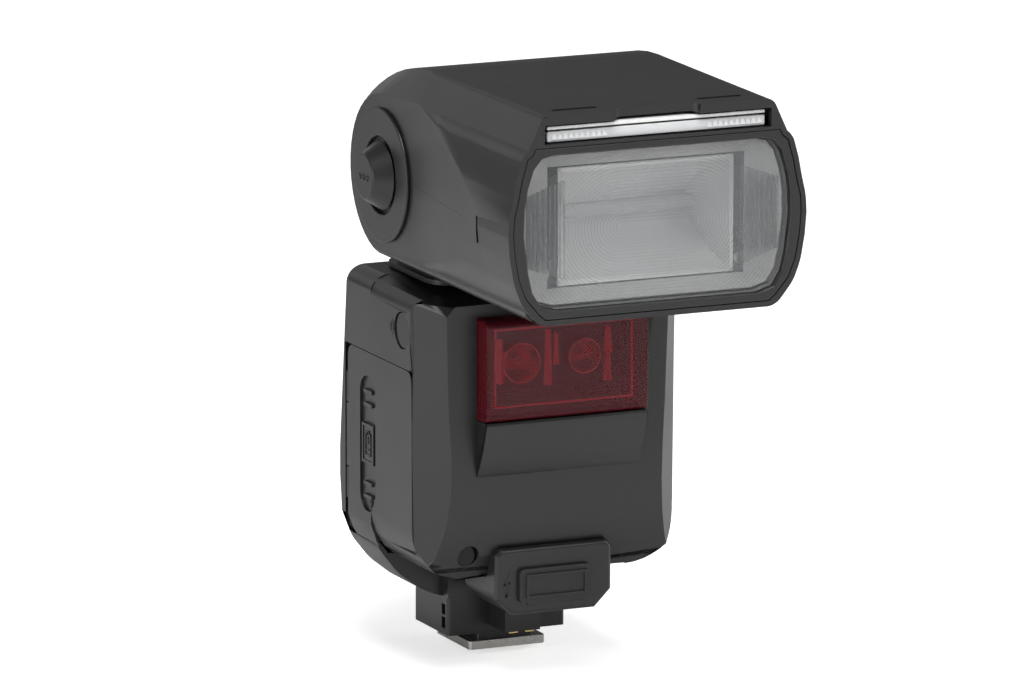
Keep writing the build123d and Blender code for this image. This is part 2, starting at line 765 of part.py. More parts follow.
def head_casing():
    """Both head shells in one piece, before they are split."""
    casing = head_outer(0) - head_outer(wall)
    for s in (-1, 1):
        x0, x1 = sorted((s * (neck_half + 0.6), s * (head_half - wall + 0.4)))
        casing = casing + rod_x(axis_y, axis_z, boss_r, x0, x1)
        x0, x1 = sorted((s * (neck_half - 1), s * (head_half - wall)))
        casing = casing - rod_x(axis_y, axis_z, trunnion_r + fit, x0, x1)
        x0, x1 = sorted((s * (head_half - wall), s * (head_half + 1)))
        casing = casing - rod_x(axis_y, axis_z, 11.6, x0, x1)
        x0, x1 = sorted((s * (trunnion_end + 0.4), s * (head_half - wall + 1)))
        casing = casing - rod_x(axis_y, axis_z, button_r + 1.5, x0, x1)
        x0, x1 = sorted((s * (head_flare - 1.0), s * (head_flare + 1)))
        casing = casing - block(x0, x1, -72.0, -71.0, 107.0, 113.0)
        x0, x1 = sorted((s * 12.0, s * 22.5))
        casing = casing - block(x0, x1, head_front + 5.4, head_front + 7.2, head_top - 0.6, head_top + 1)
    for x in (-17, 17):
        for y in (-44, -31):
            casing = casing + rod_z(x, y, 1.8, 127.2, head_top - 1)
    slot = block(-neck_half - 0.6, neck_half + 0.6, axis_y - post_half_y - 3.5, axis_y + rear_r + 2,
                 head_low - 1, axis_z + post_half_y + 1)
    casing = casing - slot
    rim_rear = head_front + rim_depth + seat
    opening = front_prism(head_front_outline(rim_wall), head_front - 1, rim_rear)
    opening = opening & block(-40, 40, head_front - 2, rim_rear, head_low, slot_low - 0.7)
    casing = casing - opening
    casing = casing - block(-slot_half, slot_half, head_front - 1, head_front + 4, slot_low, slot_high)
    thumb = block(-10, 10, head_front - 1, head_front + 2.6, slot_high - 0.2, head_top + 1)
    thumb = fillet(thumb.edges().filter_by(Axis.Z).sort_by(Axis.Y)[-2:], 2.4)
    return casing - thumb


def head_upper_shell(casing):
    """Upper head moulding, down to the parting line at mid height."""
    return casing & block(-40, 40, -100, 20, split_z, head_top + 2)


def head_lower_shell(casing):
    """Lower head moulding, with the slot for the neck."""
    return casing & block(-40, 40, -100, 20, head_low - 2, split_z - 0.02)


def lens_frame():
    """Bezel that holds the lens inside the rim of the shells."""
    ring = front_prism(head_front_outline(rim_wall + seat), head_front, head_front + rim_depth)
    ring = ring & block(-40, 40, head_front - 1, head_front + rim_depth, head_low, slot_low - 0.8)
    ring = ring - front_prism(lens_outline(0), head_front - 1, head_front + rim_depth + 1)
    return ring


def fresnel_lens():
    """Clear moulded lens in the front of the head."""
    return front_prism(lens_outline(0.15), head_front + 1.2, head_front + 3.2)


def panel_guide():
    """Shelf under the wide panel and the bounce card, with side rails."""
    y0, y1 = head_front + rim_depth + 0.2, -48.0
    shelf = block(-slot_half, slot_half, y0, y1, 129.9, 130.6)
    rails = [block(s * slot_half - 0.8, s * slot_half + 0.8, y0, y1, 129.9, 134.6) for s in (-1, 1)]
    form = shelf + rails[0] + rails[1]
    return form & head_outer(wall + 0.1)


def wide_panel():
    """Clear diffusing panel that pulls out and flips over the lens."""
    half = slot_half - 1.1
    panel = block(-half, half, head_front + 0.7, head_front + 34, slot_low + 0.3, slot_low + 0.3 + panel_thick)
    lip = block(-half, half, head_front + 0.7, head_front + 1.7, slot_low + 0.3, slot_low + 2.6)
    return panel + lip


def bounce_card():
    """White card stored above the wide panel."""
    half = slot_half - 1.1
    z0 = slot_low + 3.0
    return block(-half, half, head_front + 1.2, head_front + 38, z0, z0 + card_thick)


def reflector():
    """Bright trough reflector that opens to the front."""
    x, z, y = reflector_half_x, reflector_half_z, lamp_y
    big = Pos(0, y - reflector_depth, lamp_z) * Rot(90, 0, 0) * Rectangle(2 * x, 2 * z)
    small = Pos(0, y, lamp_z) * Rot(90, 0, 0) * Rectangle(2 * x - 1, 9)
    inner_big = Pos(0, y - reflector_depth - 0.01, lamp_z) * Rot(90, 0, 0) * Rectangle(2 * x - 1.6, 2 * z - 1.6)
    inner_small = Pos(0, y - 1.0, lamp_z) * Rot(90, 0, 0) * Rectangle(2 * x - 2.6, 7)
    bowl = loft([big, small], ruled=True) - loft([inner_big, inner_small], ruled=True)
    return bowl - rod_x(tube_y(), lamp_z, tube_r + 0.6, -x - 1, x + 1)


def tube_y():
    """Depth of the flash tube inside the reflector."""
    return lamp_y - 4.4


def flash_tube():
    """Xenon tube with its end caps."""
    z = lamp_z
    tube = rod_x(tube_y(), z, tube_r - 0.5, -tube_half - 4, tube_half + 4)
    for s in (-1, 1):
        x0, x1 = sorted((s * (tube_half + 2.4), s * (tube_half + 4.6)))
        tube = tube + rod_x(tube_y(), z, tube_r, x0, x1)
    return tube


def lamp_carriage():
    """Carriage that carries the reflector and tube along the guide rods."""
    z = lamp_z
    back = block(-26.5, 26.5, lamp_y + 0.2, lamp_y + 3.4, z - 17.0, z + 11)
    arms = [block(s * arm_x - 1.3, s * arm_x + 1.3, tube_y() - 3, lamp_y + 0.4, z - 4, z + 4) for s in (-1, 1)]
    form = back + arms[0] + arms[1]
    for s in (-1, 1):
        form = form - rod_x(tube_y(), z, tube_r + 0.05, s * arm_x - 1.4, s * arm_x + 1.4)
        form = form - rod_y(s * guide_x, z - guide_drop, screw_r + fit, lamp_y - 1, lamp_y + 5)
    return form - rod_y(screw_x, z - screw_drop, screw_r + fit, lamp_y - 1, lamp_y + 5)


def guide_rods():
    """Steel rods that the carriage slides on, with their end block."""
    z = lamp_z - guide_drop
    rods = [rod_y(s * guide_x, z, screw_r, rod_front, rod_rear) for s in (-1, 1)]
    return Compound(children=rods)


def rod_mounts():
    """End blocks of the guide rods and the lead screw."""
    z = lamp_z
    blocks = []
    for y0, y1 in ((rod_front, rod_front + rod_block), (rod_rear - rod_block, rod_rear)):
        bar = block(-26, 26, y0, y1, head_low + wall + 0.1, z - reflector_half_z - 0.5)
        for s in (-1, 1):
            x0, x1 = sorted((s * 21.6, s * 26))
            bar = bar + block(x0, x1, y0, y1, head_low + wall + 1, z - guide_drop + 2.6)
        for s in (-1, 1):
            bar = bar - rod_y(s * guide_x, z - guide_drop, screw_r, y0 - 1, y1 + 1)
        blocks.append(bar - rod_y(screw_x, z - screw_drop, screw_r + fit, y0 - 1, y1 + 1))
    return Compound(children=blocks)


def lead_screw():
    """Screw that drives the carriage."""
    z = lamp_z - screw_drop
    screw = rod_y(screw_x, z, screw_r, rod_front + 0.5, rod_rear + 0.6)
    return screw + rod_y(screw_x, z, 2.6, rod_rear + 0.6, rod_rear + 1.8)


def zoom_motor():
    """Small motor beside the lead screw."""
    return rod_y(10.0, head_low + wall + 4.6, 4.4, -42.2, -36.1)


def trigger_board():
    """Trigger circuit above the carriage."""
    board = block(-20, 20, -47, -28, 125.6, 127.2)
    coil = rod_z(8.0, -37, 4.0, 127.2, 131.0)
    return board + coil


def hinge_cap(s):
    """Round cap over the head's hinge."""
    x0, x1 = sorted((s * head_half, s * (head_half + disc_proud)))
    cap = rod_x(axis_y, axis_z, disc_r, x0, x1)
    x0, x1 = sorted((s * (head_half - wall + 0.5), s * head_half))
    return cap + rod_x(axis_y, axis_z, 11.5, x0, x1)


def hinge_cap_left():
    """Hinge cap with the bore of the release button."""
    cap = hinge_cap(-1)
    cap = cap - rod_x(axis_y, axis_z, 8.8, -head_half - 2, -head_half + dish_depth)
    return cap - rod_x(axis_y, axis_z, button_r + 0.1, -head_half - 2, -20)


def hinge_cap_right():
    """Plain hinge cap."""
    return hinge_cap(1)


def release_button():
    """Button that frees the tilt and the swivel."""
    x_face = -head_half - disc_proud - button_proud
    x_in = -head_half + wall
    x_base = -head_half + dish_depth - button_travel - 0.1
    cone_length = x_base - x_face
    cone = Rot(0, -90, 0) * Cone(button_base_r, button_r, cone_length)
    cone = Pos((x_face + x_base) / 2, axis_y, axis_z) * cone
    cone = fillet(cone.edges().sort_by(Axis.X)[0], 0.6)
    button = cone + rod_x(axis_y, axis_z, button_r, x_base - 0.1, x_in)
    button = button + rod_x(axis_y, axis_z, button_r + 1.0, -head_half + wall - 0.45, x_in)
    dots = [rod_x(axis_y + dy, axis_z, 0.5, x_face - 0.25, x_face + 0.5) for dy in (-1.9, 0, 1.9)]
    return grown([button] + dots)


def head_screws():
    """Screws that join the two head shells, up from below."""
    screws = []
    for x, y in ((-24.0, -84.0), (24.0, -84.0)):
        screws.append(rod_z(x, y, 0.9, 93.4, 95.5))
    return Compound(children=screws)


def main():
    """Builds every sub-part and writes it out."""
    os.makedirs("parts", exist_ok=True)
    for make in (front_shell, rear_shell, side_sensor_window, front_sensor, af_window, af_lamps,
                 terminal_housing, terminal_socket, terminal_cap, foot_block, foot_plate, foot_screws,
                 contact_pins, side_contacts, lock_pin, lock_lever, battery_holder, battery_cells,
                 battery_terminals, terminal_board, battery_door, door_hinge, main_capacitor,
                 power_board, main_board, control_panel, lcd_module, lcd_window, selector_dial,
                 confirm_key, ready_lamp, sync_cover, case_screws, swivel_bearing, neck,
                 swivel_retainer, lens_frame, fresnel_lens, panel_guide, wide_panel, bounce_card,
                 reflector, flash_tube, lamp_carriage, guide_rods, rod_mounts, lead_screw,
                 zoom_motor, trigger_board, hinge_cap_left, hinge_cap_right, release_button):
        save(make.__name__, make())
    for number, x in enumerate(key_columns(), start=1):
        save("soft_key_%d" % number, push_key(x, key_z, key_radius))
    save("test_button", push_key(-side_key_x, dial_z, 2.8))
    casing = head_casing()
    save("head_upper_shell", head_upper_shell(casing))
    save("head_lower_shell", head_lower_shell(casing))


main()
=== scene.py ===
import json
import math
import bmesh
import bpy
from mathutils import Matrix, Vector


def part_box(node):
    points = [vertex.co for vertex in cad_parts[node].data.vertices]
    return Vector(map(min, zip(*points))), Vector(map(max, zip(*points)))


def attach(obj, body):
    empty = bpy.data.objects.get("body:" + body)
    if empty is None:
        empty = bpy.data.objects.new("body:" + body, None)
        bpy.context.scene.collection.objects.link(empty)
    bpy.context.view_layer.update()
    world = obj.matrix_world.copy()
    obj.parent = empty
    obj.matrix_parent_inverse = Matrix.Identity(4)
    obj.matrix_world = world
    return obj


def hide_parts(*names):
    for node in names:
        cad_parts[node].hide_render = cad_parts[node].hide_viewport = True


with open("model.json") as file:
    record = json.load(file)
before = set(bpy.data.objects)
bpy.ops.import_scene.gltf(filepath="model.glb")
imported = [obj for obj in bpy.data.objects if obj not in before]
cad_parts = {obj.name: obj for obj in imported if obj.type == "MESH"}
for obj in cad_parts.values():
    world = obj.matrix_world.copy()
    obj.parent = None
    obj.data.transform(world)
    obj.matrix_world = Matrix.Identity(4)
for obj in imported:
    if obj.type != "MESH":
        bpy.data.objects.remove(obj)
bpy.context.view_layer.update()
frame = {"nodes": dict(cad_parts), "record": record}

# The view: a long lens on a stand, well back from the flash. It looks down a little on the lamp side
# and the battery-door side.
turn, lift, roll = math.radians(24.208), math.radians(11.884), math.radians(0.089)
eye = Vector((-0.93283, -2.08617, 0.54935))
camera = bpy.data.objects.new("camera", bpy.data.cameras.new("camera"))
camera.data.lens = 365.4
camera.data.sensor_width = 36.0
camera.data.clip_end = 20.0
aim = Matrix.Rotation(-turn, 4, "Z") @ Matrix.Rotation(math.pi / 2 - lift, 4, "X")
aim = aim @ Matrix.Rotation(roll, 4, "Z")
camera.matrix_world = Matrix.Translation(eye) @ aim
bpy.context.scene.collection.objects.link(camera)
bpy.context.scene.camera = camera
bpy.context.scene.view_settings.view_transform = "Standard"


# The room: a pale floor, an even pale world and five soft boxes: above, behind, in front and either side.
# The lamps are kept low enough for the black nylon to stay near its own colour.
def soft_box(name, place, size, watts, target=(0.0, -0.03, 0.08)):
    """A rectangular soft box that faces the target."""
    light = bpy.data.objects.new(name, bpy.data.lights.new(name, "AREA"))
    light.data.shape = "RECTANGLE"
    light.data.size, light.data.size_y = size
    light.data.energy = watts
    away = Vector(place) - Vector(target)
    light.matrix_world = Matrix.Translation(place) @ away.to_track_quat("Z", "Y").to_matrix().to_4x4()
    bpy.context.scene.collection.objects.link(light)
    return light


soft_box("top_box", (-0.1, -0.55, 1.20), (0.8, 0.5), 15.0)
soft_box("back_box", (-0.25, 1.40, 0.50), (1.6, 0.5), 1.6)
soft_box("left_box", (-1.30, -0.28, 0.12), (0.30, 0.9), 9.0)
soft_box("front_box", (0.35, -1.3, 0.85), (0.8, 0.4), 5.0)
soft_box("right_box", (1.1, -0.1, 0.30), (0.25, 0.9), 4.0)

room = bpy.data.worlds.new("room")
bpy.context.scene.world = room
room.use_nodes = True
sky = room.node_tree.nodes["Background"]
sky.inputs["Color"].default_value = (1.0, 1.0, 1.0, 1.0)
seen = room.node_tree.nodes.new("ShaderNodeLightPath")
level = room.node_tree.nodes.new("ShaderNodeMapRange")
level.inputs["To Min"].default_value = 0.14
level.inputs["To Max"].default_value = 1.0
room.node_tree.links.new(seen.outputs["Is Camera Ray"], level.inputs["Value"])
room.node_tree.links.new(level.outputs["Result"], sky.inputs["Strength"])

floor_mesh = bmesh.new()
bmesh.ops.create_grid(floor_mesh, x_segments=2, y_segments=2, size=6.0)
floor_data = bpy.data.meshes.new("floor")
floor_mesh.to_mesh(floor_data)
floor_mesh.free()
floor = bpy.data.objects.new("floor", floor_data)
floor.location.z = -0.0012
bpy.context.scene.collection.objects.link(floor)
paper = bpy.data.materials.new("white_paper")
paper.use_nodes = True
paper_shader = paper.node_tree.nodes["Principled BSDF"]
paper_shader.inputs["Base Color"].default_value = (0.93, 0.93, 0.93, 1.0)
paper_shader.inputs["Roughness"].default_value = 0.9
paper_seen = paper.node_tree.nodes.new("ShaderNodeLightPath")
paper.node_tree.links.new(paper_seen.outputs["Is Camera Ray"], paper_shader.inputs["Emission Strength"])
paper_shader.inputs["Emission Color"].default_value = (0.62, 0.62, 0.62, 1.0)
floor.data.materials.append(paper)


# Casings: glass-filled nylon shells, injection-moulded in tools eroded to a fine satin grain. They meet
# at thin parting lines and are screwed together.
def new_material(name, color, roughness, **sockets):
    """A plain Principled material, with the named sockets set to constants."""
    material = bpy.data.materials.new(name)
    material.use_nodes = True
    shader = material.node_tree.nodes["Principled BSDF"]
    shader.inputs["Base Color"].default_value = (*color, 1.0)
    shader.inputs["Roughness"].default_value = roughness
    for socket, value in sockets.items():
        shader.inputs[socket.replace("_", " ")].default_value = value
    return material


def group_socket(tree, name, direction, kind, value=None):
    """Adds one named socket to a node group."""
    socket = tree.interface.new_socket(name, in_out=direction, socket_type=kind)
    if value is not None:
        socket.default_value = value
    return socket


# Moulded grain: the fine texture that the tool leaves on plastic and rubber, with broad soft patches
# where hands polish it. Each material places it with its own size and depth.
grain = bpy.data.node_groups.new("moulded_grain", "ShaderNodeTree")
group_socket(grain, "Color", "INPUT", "NodeSocketColor")
group_socket(grain, "Roughness", "INPUT", "NodeSocketFloat", 0.45)
group_socket(grain, "Grain Size", "INPUT", "NodeSocketFloat", 3200.0)
group_socket(grain, "Grain Depth", "INPUT", "NodeSocketFloat", 0.12)
group_socket(grain, "Color", "OUTPUT", "NodeSocketColor")
group_socket(grain, "Roughness", "OUTPUT", "NodeSocketFloat")
group_socket(grain, "Normal", "OUTPUT", "NodeSocketVector")
grain_in = grain.nodes.new("NodeGroupInput")
grain_out = grain.nodes.new("NodeGroupOutput")
grain_place = grain.nodes.new("ShaderNodeTexCoord")
grain_fine = grain.nodes.new("ShaderNodeTexNoise")
grain_fine.inputs["Detail"].default_value = 2.0
grain_broad = grain.nodes.new("ShaderNodeTexNoise")
grain_broad.inputs["Scale"].default_value = 38.0
grain_broad.inputs["Detail"].default_value = 3.0
grain_bump = grain.nodes.new("ShaderNodeBump")
grain_bump.inputs["Distance"].default_value = 0.00006
grain_rough = grain.nodes.new("ShaderNodeMapRange")
grain_rough.inputs["To Min"].default_value = -0.06
grain_rough.inputs["To Max"].default_value = 0.06
grain_sum = grain.nodes.new("ShaderNodeMath")
grain_sum.operation = "ADD"
grain_shade = grain.nodes.new("ShaderNodeMapRange")
grain_shade.inputs["To Min"].default_value = 0.88
grain_shade.inputs["To Max"].default_value = 1.14
grain_tint = grain.nodes.new("ShaderNodeVectorMath")
grain_tint.operation = "SCALE"
grain.links.new(grain_place.outputs["Object"], grain_fine.inputs["Vector"])
grain.links.new(grain_place.outputs["Object"], grain_broad.inputs["Vector"])
grain.links.new(grain_in.outputs["Grain Size"], grain_fine.inputs["Scale"])
grain.links.new(grain_in.outputs["Grain Depth"], grain_bump.inputs["Strength"])
grain.links.new(grain_fine.outputs["Fac"], grain_bump.inputs["Height"])
grain.links.new(grain_broad.outputs["Fac"], grain_rough.inputs["Value"])
grain.links.new(grain_in.outputs["Roughness"], grain_sum.inputs[0])
grain.links.new(grain_rough.outputs["Result"], grain_sum.inputs[1])
grain.links.new(grain_fine.outputs["Fac"], grain_shade.inputs["Value"])
grain.links.new(grain_in.outputs["Color"], grain_tint.inputs[0])
grain.links.new(grain_shade.outputs["Result"], grain_tint.inputs["Scale"])
grain.links.new(grain_tint.outputs["Vector"], grain_out.inputs["Color"])
grain.links.new(grain_sum.outputs["Value"], grain_out.inputs["Roughness"])
grain.links.new(grain_bump.outputs["Normal"], grain_out.inputs["Normal"])


def grained(name, color, roughness, size=3200.0, depth=0.12, **sockets):
    """A moulded plastic or rubber with the grain group on it."""
    material = new_material(name, color, roughness, **sockets)
    tree = material.node_tree
    node = tree.nodes.new("ShaderNodeGroup")
    node.node_tree = grain
    node.inputs["Color"].default_value = (*color, 1.0)
    node.inputs["Roughness"].default_value = roughness
    node.inputs["Grain Size"].default_value = size
    node.inputs["Grain Depth"].default_value = depth
    shader = tree.nodes["Principled BSDF"]
    tree.links.new(node.outputs["Color"], shader.inputs["Base Color"])
    tree.links.new(node.outputs["Roughness"], shader.inputs["Roughness"])
    tree.links.new(node.outputs["Normal"], shader.inputs["Normal"])
    return material


def finish_node(node, material):
    """Gives a CAD piece its real finish."""
    piece = frame["nodes"][node]
    if not piece.material_slots:
        piece.data.materials.append(material)
    for held in piece.material_slots:
        held.material = material


def body_of_node(node):
    """The body that a CAD node belongs to."""
    for body, nodes in frame["record"]["behaviour"]["bodies"].items():
        if node in nodes:
            return body
    return None


weld = 0.000005
soft_from, soft_to = math.radians(9.0), math.radians(75.0)


def moulded(node, radius, material, angle=22.0, soft=0.0, shortest=0.012):
    """The CAD piece again, with the round edges of its mould: soft ones along its long corners."""
    shape = bmesh.new()
    shape.from_mesh(frame["nodes"][node].data)
    bmesh.ops.remove_doubles(shape, verts=shape.verts[:], dist=weld)
    bmesh.ops.dissolve_limit(shape, angle_limit=math.radians(1.0), verts=shape.verts[:], edges=shape.edges[:],
                             delimit={"NORMAL"})
    if soft:
        long_edges = [edge for edge in shape.edges if edge.is_manifold and edge.is_convex
                      and edge.calc_length() > shortest
                      and soft_from < edge.calc_face_angle() < soft_to]
        bmesh.ops.bevel(shape, geom=long_edges, offset=soft, segments=5, affect="EDGES", profile=0.5,
                        material=-1, clamp_overlap=False)
    data = bpy.data.meshes.new(node + "_moulded")
    shape.to_mesh(data)
    shape.free()
    piece = bpy.data.objects.new(node + "_moulded", data)
    bpy.context.scene.collection.objects.link(piece)
    for face in data.polygons:
        face.use_smooth = True
    data.materials.clear()
    data.materials.append(material)
    rounding = piece.modifiers.new("rounding", "BEVEL")
    rounding.width = radius
    rounding.segments = 3
    rounding.limit_method = "ANGLE"
    rounding.angle_limit = math.radians(angle)
    rounding.use_clamp_overlap = True
    rounding.harden_normals = False
    weigh = piece.modifiers.new("flat_faces", "WEIGHTED_NORMAL")
    weigh.keep_sharp = False
    weigh.weight = 80
    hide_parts(node)
    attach(piece, body_of_node(node))
    return piece


def finished(name, shape, material, body, stands_for=(), sharp=32.0):
    """Makes a finished piece of a bmesh that is already in its place, and rides it on its body."""
    bmesh.ops.remove_doubles(shape, verts=shape.verts[:], dist=0.000002)
    bmesh.ops.recalc_face_normals(shape, faces=shape.faces[:])
    for face in shape.faces:
        face.smooth = True
    for edge in shape.edges:
        edge.smooth = len(edge.link_faces) < 2 or edge.calc_face_angle(0.0) < math.radians(sharp)
    data = bpy.data.meshes.new(name)
    shape.to_mesh(data)
    shape.free()
    data.materials.append(material)
    piece = bpy.data.objects.new(name, data)
    bpy.context.scene.collection.objects.link(piece)
    if stands_for:
        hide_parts(*stands_for)
    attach(piece, body)
    return piece


def add_box(shape, low, high, bevel=0.0, segments=2):
    """Adds a box with softened edges to a shape."""
    low, high = Vector(low), Vector(high)
    made = bmesh.ops.create_cube(shape, size=1.0)["verts"]
    bmesh.ops.scale(shape, vec=high - low, verts=made)
    bmesh.ops.translate(shape, vec=(low + high) / 2, verts=made)
    if bevel:
        edges = list({edge for vert in made for edge in vert.link_edges})
        bmesh.ops.bevel(shape, geom=edges, offset=bevel, segments=segments, affect="EDGES", profile=0.5,
                        material=-1)


def add_lathe(shape, profile, centre, axis="Y", steps=48):
    """Spins a profile of (radius, distance along the axis) pairs into a closed round form."""
    made = [shape.verts.new((radius, 0.0, along)) for radius, along in profile]
    edges = [shape.edges.new(pair) for pair in zip(made, made[1:])]
    spun = bmesh.ops.spin(shape, geom=made + edges, cent=(0, 0, 0), axis=(0, 0, 1), angle=math.tau,
                          steps=steps, use_merge=True)
    verts = {v for g in spun["geom_last"] for v in (g.verts if hasattr(g, "verts") else [g])} | set(made)
    reached, queue = set(verts), list(verts)
    while queue:
        for edge in queue.pop().link_edges:
            for vert in edge.verts:
                if vert not in reached:
                    reached.add(vert)
                    queue.append(vert)
    facing = {"X": Matrix.Rotation(math.pi / 2, 4, "Y"),
              "Y": Matrix.Rotation(math.pi / 2, 4, "X"),
              "Z": Matrix()}
    bmesh.ops.transform(shape, matrix=Matrix.Translation(centre) @ facing[axis], verts=list(reached))


black_nylon = grained("black_nylon", (0.014, 0.014, 0.0145), 0.36)
for node, radius, soft in (("front_shell", 0.0005, 0.0022), ("rear_shell", 0.0005, 0.0015),
                           ("head_upper_shell", 0.0004, 0.0014), ("head_lower_shell", 0.0004, 0.0014),
                           ("foot_block", 0.0003, 0.0), ("terminal_housing", 0.0004, 0.0015),
                           ("lens_frame", 0.0003, 0.0), ("neck", 0.0005, 0.0), ("battery_door", 0.0002, 0.0),
                           ("hinge_cap_left", 0.0003, 0.0), ("hinge_cap_right", 0.0003, 0.0)):
    moulded(node, radius, black_nylon, 22.0, soft)


# Foot: a pressed and plated steel slide, screwed under the moulded leg, with sprung gilt contacts,
# a steel locking pin and the lever that drops it. The edges of the slide are worn bright by camera shoes.
brushed = bpy.data.node_groups.new("brushed_wear", "ShaderNodeTree")
group_socket(brushed, "Color", "INPUT", "NodeSocketColor")
group_socket(brushed, "Roughness", "INPUT", "NodeSocketFloat", 0.3)
group_socket(brushed, "Stretch", "INPUT", "NodeSocketVector")
group_socket(brushed, "Color", "OUTPUT", "NodeSocketColor")
group_socket(brushed, "Roughness", "OUTPUT", "NodeSocketFloat")
group_socket(brushed, "Normal", "OUTPUT", "NodeSocketVector")
brushed_in = brushed.nodes.new("NodeGroupInput")
brushed_out = brushed.nodes.new("NodeGroupOutput")
brushed_place = brushed.nodes.new("ShaderNodeTexCoord")
brushed_run = brushed.nodes.new("ShaderNodeVectorMath")
brushed_run.operation = "MULTIPLY"
brushed_lines = brushed.nodes.new("ShaderNodeTexNoise")
brushed_lines.inputs["Scale"].default_value = 900.0
brushed_lines.inputs["Detail"].default_value = 3.0
brushed_rough = brushed.nodes.new("ShaderNodeMapRange")
brushed_rough.inputs["To Min"].default_value = -0.10
brushed_rough.inputs["To Max"].default_value = 0.12
brushed_sum = brushed.nodes.new("ShaderNodeMath")
brushed_sum.operation = "ADD"
brushed_shade = brushed.nodes.new("ShaderNodeMapRange")
brushed_shade.inputs["To Min"].default_value = 0.82
brushed_shade.inputs["To Max"].default_value = 1.12
brushed_tint = brushed.nodes.new("ShaderNodeVectorMath")
brushed_tint.operation = "SCALE"
brushed_bump = brushed.nodes.new("ShaderNodeBump")
brushed_bump.inputs["Strength"].default_value = 0.15
brushed_bump.inputs["Distance"].default_value = 0.00004
brushed.links.new(brushed_place.outputs["Object"], brushed_run.inputs[0])
brushed.links.new(brushed_in.outputs["Stretch"], brushed_run.inputs[1])
brushed.links.new(brushed_run.outputs["Vector"], brushed_lines.inputs["Vector"])
brushed.links.new(brushed_lines.outputs["Fac"], brushed_rough.inputs["Value"])
brushed.links.new(brushed_in.outputs["Roughness"], brushed_sum.inputs[0])
brushed.links.new(brushed_rough.outputs["Result"], brushed_sum.inputs[1])
brushed.links.new(brushed_lines.outputs["Fac"], brushed_shade.inputs["Value"])
brushed.links.new(brushed_in.outputs["Color"], brushed_tint.inputs[0])
brushed.links.new(brushed_shade.outputs["Result"], brushed_tint.inputs["Scale"])
brushed.links.new(brushed_lines.outputs["Fac"], brushed_bump.inputs["Height"])
brushed.links.new(brushed_tint.outputs["Vector"], brushed_out.inputs["Color"])
brushed.links.new(brushed_sum.outputs["Value"], brushed_out.inputs["Roughness"])
brushed.links.new(brushed_bump.outputs["Normal"], brushed_out.inputs["Normal"])


def brushed_metal(name, color, roughness, stretch):
    """A metal with fine lines that run along its least stretched axis."""
    material = new_material(name, color, roughness, Metallic=1.0)
    tree = material.node_tree
    node = tree.nodes.new("ShaderNodeGroup")
    node.node_tree = brushed
    node.inputs["Color"].default_value = (*color, 1.0)
    node.inputs["Roughness"].default_value = roughness
    node.inputs["Stretch"].default_value = stretch
    shader = tree.nodes["Principled BSDF"]
    tree.links.new(node.outputs["Color"], shader.inputs["Base Color"])
    tree.links.new(node.outputs["Roughness"], shader.inputs["Roughness"])
    tree.links.new(node.outputs["Normal"], shader.inputs["Normal"])
    return material


plated_steel = brushed_metal("plated_steel", (0.66, 0.65, 0.62), 0.30, (1.0, 0.08, 1.0))
gilt = brushed_metal("gilt", (0.83, 0.62, 0.27), 0.24, (1.0, 1.0, 0.1))
bright_steel = brushed_metal("bright_steel", (0.56, 0.56, 0.55), 0.32, (0.1, 1.0, 1.0))
dark_steel = brushed_metal("dark_steel", (0.10, 0.10, 0.105), 0.38, (1.0, 1.0, 0.1))
moulded("foot_plate", 0.00025, plated_steel)
finish_node("contact_pins", gilt)
finish_node("side_contacts", gilt)
for node in ("foot_screws", "swivel_bearing", "swivel_retainer", "guide_rods", "lead_screw",
             "battery_terminals"):
    finish_node(node, bright_steel)
for node in ("lock_pin", "case_screws", "door_hinge"):
    finish_node(node, dark_steel)


# Works inside the body: the battery tray and its cells, the circuit boards and the flash capacitor.
# The boards carry a green-black solder mask, and the cells and capacitor have shrunk plastic wraps.
inner_nylon = grained("inner_nylon", (0.045, 0.045, 0.048), 0.55, 2200.0, 0.1)
solder_mask = grained("solder_mask", (0.010, 0.055, 0.030), 0.34, 900.0, 0.35)
cell_wrap = grained("cell_wrap", (0.30, 0.31, 0.33), 0.30, 500.0, 0.03, Coat_Weight=0.4)
capacitor_wrap = grained("capacitor_wrap", (0.012, 0.014, 0.030), 0.28, 600.0, 0.03, Coat_Weight=0.4)
for node in ("battery_holder", "terminal_board", "panel_guide", "lamp_carriage", "rod_mounts",
             "terminal_socket"):
    finish_node(node, inner_nylon)
for node in ("power_board", "main_board", "trigger_board"):
    finish_node(node, solder_mask)
finish_node("battery_cells", cell_wrap)
finish_node("main_capacitor", capacitor_wrap)
finish_node("zoom_motor", bright_steel)


# Focus lamps: two small plated reflector cups and upright prisms in red acrylic, on their board
# behind the window. They throw bars of red light that a camera focuses on in the dark; here the lamps are
# off, and the prisms carry a faint painted red glow.
lamp_low, lamp_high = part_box("af_lamps")
board_face, prism_face = lamp_high.y - 0.0016, lamp_high.y - 0.0042
shelf_x, shelf_half, shelf_low, shelf_high = 0.0105, 0.0052, 0.0632, 0.0644
red_foil = new_material("red_foil", (0.85, 0.05, 0.07), 0.12, Metallic=1.0)
# Painted glow: a red with a faint emission that stands in for light caught in the prisms and on the window's
# ledge; no lamp is lit.
red_painted_glow = new_material("red_painted_glow", (0.80, 0.03, 0.05), 0.2)
painted_glow_shader = red_painted_glow.node_tree.nodes["Principled BSDF"]
painted_glow_shader.inputs["Emission Color"].default_value = (0.75, 0.02, 0.04, 1.0)
painted_glow_shader.inputs["Emission Strength"].default_value = 0.2
lamp_black = new_material("lamp_black", (0.010, 0.007, 0.008), 0.55)
board_shape = bmesh.new()
add_box(board_shape, (lamp_low.x, board_face, lamp_low.z), (lamp_high.x, lamp_high.y, lamp_high.z), 0.0003)
for side in (-1.0, 1.0):
    add_box(board_shape, (side * shelf_x - shelf_half, prism_face, shelf_low),
            (side * shelf_x + shelf_half, lamp_high.y - 0.0014, shelf_high), 0.0002)
finished("lamp_board_plate", board_shape, lamp_black, "body", ("af_lamps",))


